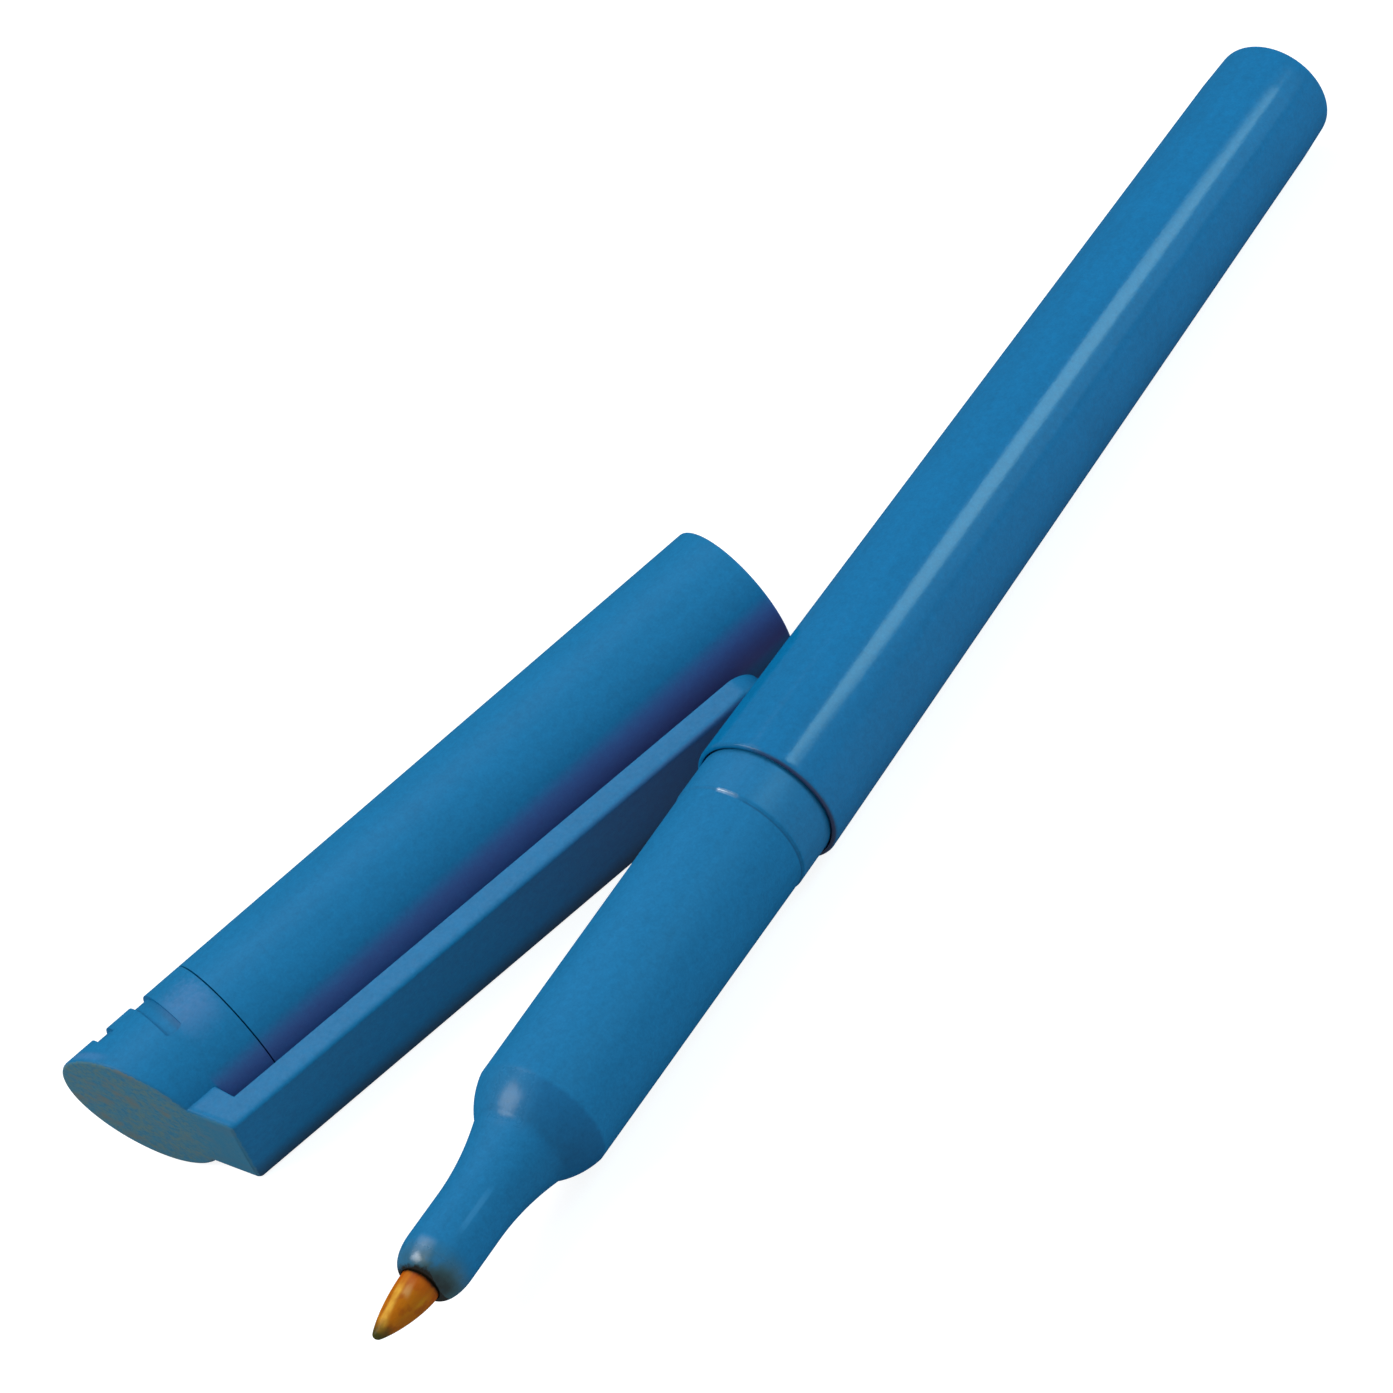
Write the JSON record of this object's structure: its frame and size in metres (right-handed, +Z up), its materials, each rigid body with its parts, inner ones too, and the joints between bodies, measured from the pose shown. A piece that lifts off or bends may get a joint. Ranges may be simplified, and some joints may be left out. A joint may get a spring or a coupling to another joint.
{
  "type": "permanent marker",
  "caption": "Fibre-tip permanent marker lying uncapped: tapered round barrel, grip with a narrow neck and bullet nib, and a pull-off cap with a slanted end and a springy clip.",
  "frame": {"origin": "on the table under the middle of the box that holds the pen and its cap", "axes": "+X along the pen from its nib to its closed end, +Z up, +Y from the pen to the cap"},
  "size_m": [0.1215, 0.042, 0.0117],
  "materials": {
    "barrel_plastic": "satin moulded polypropylene, blue",
    "grip_plastic": "satin moulded polypropylene, blue, ink-stained at the neck's mouth",
    "cap_plastic": "fine matt moulded polypropylene, blue",
    "nib_fibre": "bonded fibre soaked with amber ink, dark at the point",
    "reservoir_fibre": "loose polyester fibre",
    "reservoir_wrap": "thin film",
    "liner_plastic": "natural polyethylene"
  },
  "bodies": {
    "pen": {"barrel": "barrel_plastic", "grip_section": "grip_plastic", "nib": "nib_fibre", "reservoir_core": "reservoir_fibre", "reservoir_film": "reservoir_wrap"},
    "cap": {"cap_sleeve": "cap_plastic", "cap_end": "cap_plastic", "inner_cap": "liner_plastic"},
    "clip": {"clip": "cap_plastic"}
  },
  "joints": [
    {"name": "cap_slide", "type": "slide", "parent": "pen", "child": "cap", "axis": [-0.9478, 0.319, 0], "range_m": [0, 0.06]},
    {"name": "clip_flex", "type": "hinge", "parent": "cap", "child": "clip", "pos_m": [-0.04624, 0.00687, 0.00348], "axis": [0.1003, 0.2857, -0.953], "range_deg": [0, 1], "stiffness_Nm_per_rad": 3.5}
  ]
}
